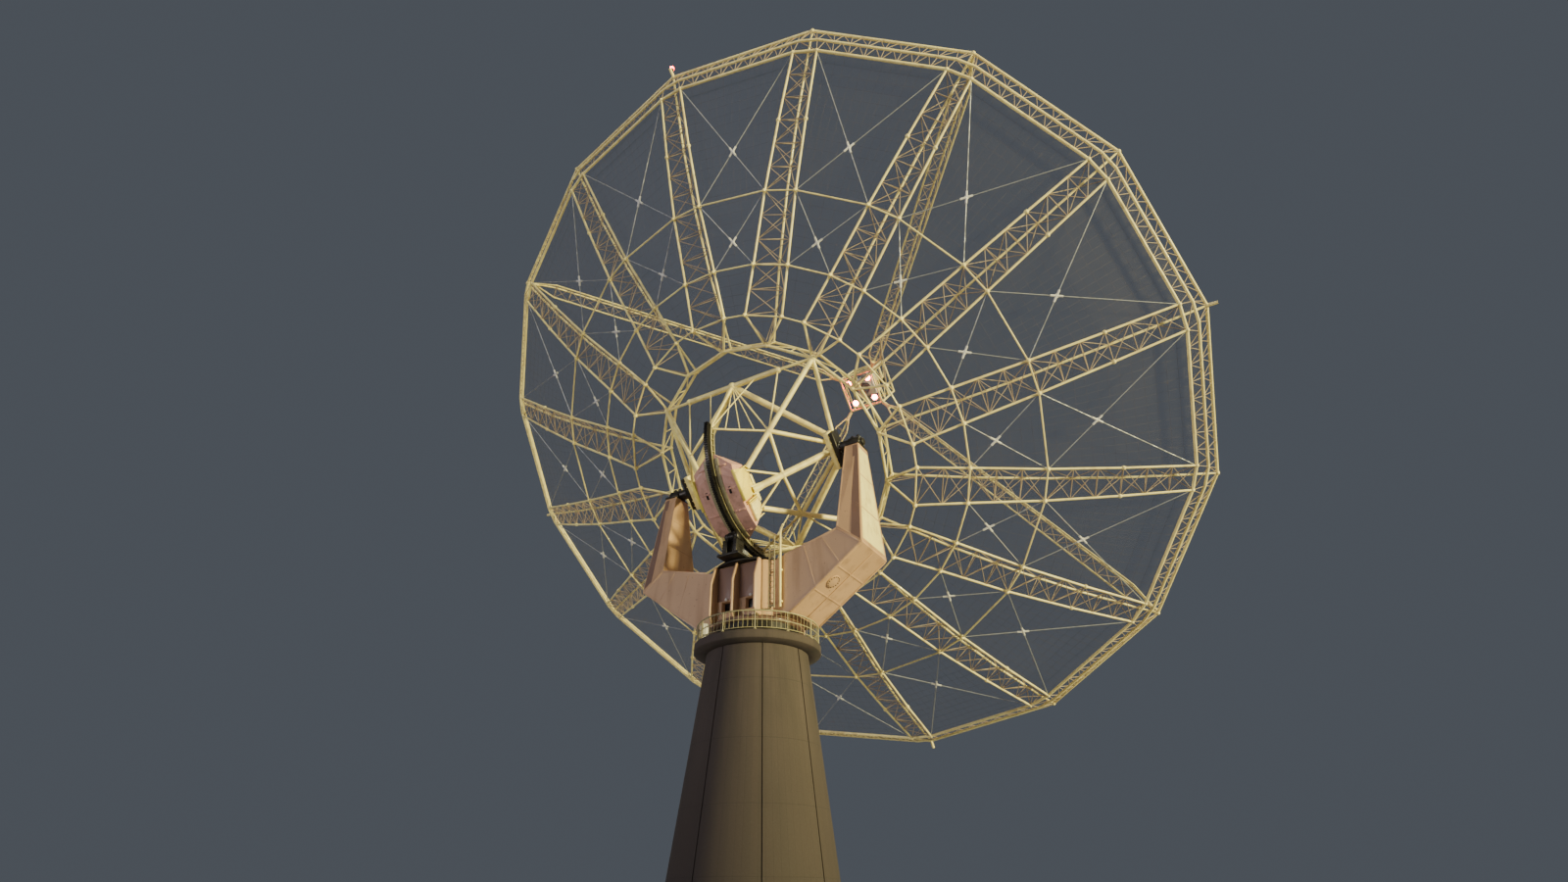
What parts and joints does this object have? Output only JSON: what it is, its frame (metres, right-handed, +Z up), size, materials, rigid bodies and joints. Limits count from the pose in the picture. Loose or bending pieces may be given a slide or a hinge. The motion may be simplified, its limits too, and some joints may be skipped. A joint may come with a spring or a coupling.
{
  "type": "radio telescope dish, 1:2 scale model",
  "caption": "Steerable mesh radio dish: trussed bowl and four-legged feed on a cradle with sector gear and counterweights, on a forked yoke and a round concrete tower",
  "frame": {"origin": "centre of the tower's round foot, on the ground", "axes": "+Z up, +Y the way the dish points at rest, +X along the elevation axis, to the right as seen from behind the dish"},
  "size_m": [23.0064, 16.3083, 21.7414],
  "materials": {
    "concrete": "board-marked, weathered",
    "yoke_paint": "satin",
    "counterweight_paint": "satin",
    "tube_paint": "satin",
    "dark_steel": "oiled",
    "gear_steel": "oiled",
    "mesh_wire": "fine wire mesh",
    "feed_metal": "satin",
    "lamp_red": "gloss"
  },
  "bodies": {
    "tower": {"tower_shaft": "concrete", "tower_head": "concrete", "azimuth_bearing": "dark_steel", "gallery_railing": "tube_paint"},
    "yoke": {"bearing_block_left": "dark_steel", "bearing_block_right": "dark_steel", "yoke_arm_left": "yoke_paint", "yoke_arm_right": "yoke_paint", "yoke_drum": "yoke_paint", "yoke_horn_left": "yoke_paint", "yoke_horn_right": "yoke_paint", "slewing_ring": "dark_steel", "elevation_drive": "dark_steel", "access_ladder": "tube_paint", "cable_mast": "tube_paint"},
    "turret": {"feed_turret": "feed_metal"},
    "dish": {"counterweight_left": "counterweight_paint", "counterweight_right": "counterweight_paint", "cradle": "tube_paint", "feed_cage": "tube_paint", "feed_leg_1": "tube_paint", "feed_leg_2": "tube_paint", "feed_leg_3": "tube_paint", "feed_leg_4": "tube_paint", "hub_ring": "tube_paint", "obstruction_lamp": "lamp_red", "purlin_ring_inner": "tube_paint", "purlin_ring_middle": "tube_paint", "purlin_ring_outer": "tube_paint", "reflector_mesh_bottom": "mesh_wire", "reflector_mesh_left": "mesh_wire", "reflector_mesh_right": "mesh_wire", "reflector_mesh_top": "mesh_wire", "rib_01": "tube_paint", "rib_02": "tube_paint", "rib_03": "tube_paint", "rib_04": "tube_paint", "rib_05": "tube_paint", "rib_06": "tube_paint", "rib_07": "tube_paint", "rib_08": "tube_paint", "rib_09": "tube_paint", "rib_10": "tube_paint", "rib_11": "tube_paint", "rib_12": "tube_paint", "rib_13": "tube_paint", "rib_14": "tube_paint", "rib_15": "tube_paint", "rib_16": "tube_paint", "rim_truss_bottom": "tube_paint", "rim_truss_left": "tube_paint", "rim_truss_right": "tube_paint", "rim_truss_top": "tube_paint", "sector_frame": "tube_paint", "sector_gear": "gear_steel", "trunnion_left": "dark_steel", "trunnion_right": "dark_steel"}
  },
  "joints": [
    {"name": "azimuth_turn", "type": "hinge", "parent": "tower", "child": "yoke", "pos_m": [0, 0, 6.03], "axis": [0, 0, 1], "range_deg": [-270, 270]},
    {"name": "elevation_tilt", "type": "hinge", "parent": "yoke", "child": "dish", "pos_m": [0, 0, 10.59], "axis": [1, 0, 0], "range_deg": [-28, 65]},
    {"name": "feed_turret_turn", "type": "hinge", "parent": "dish", "child": "turret", "pos_m": [0, 7.6898, 18.2798], "axis": [1, 0, 0], "range_deg": [-90, 180]}
  ]
}
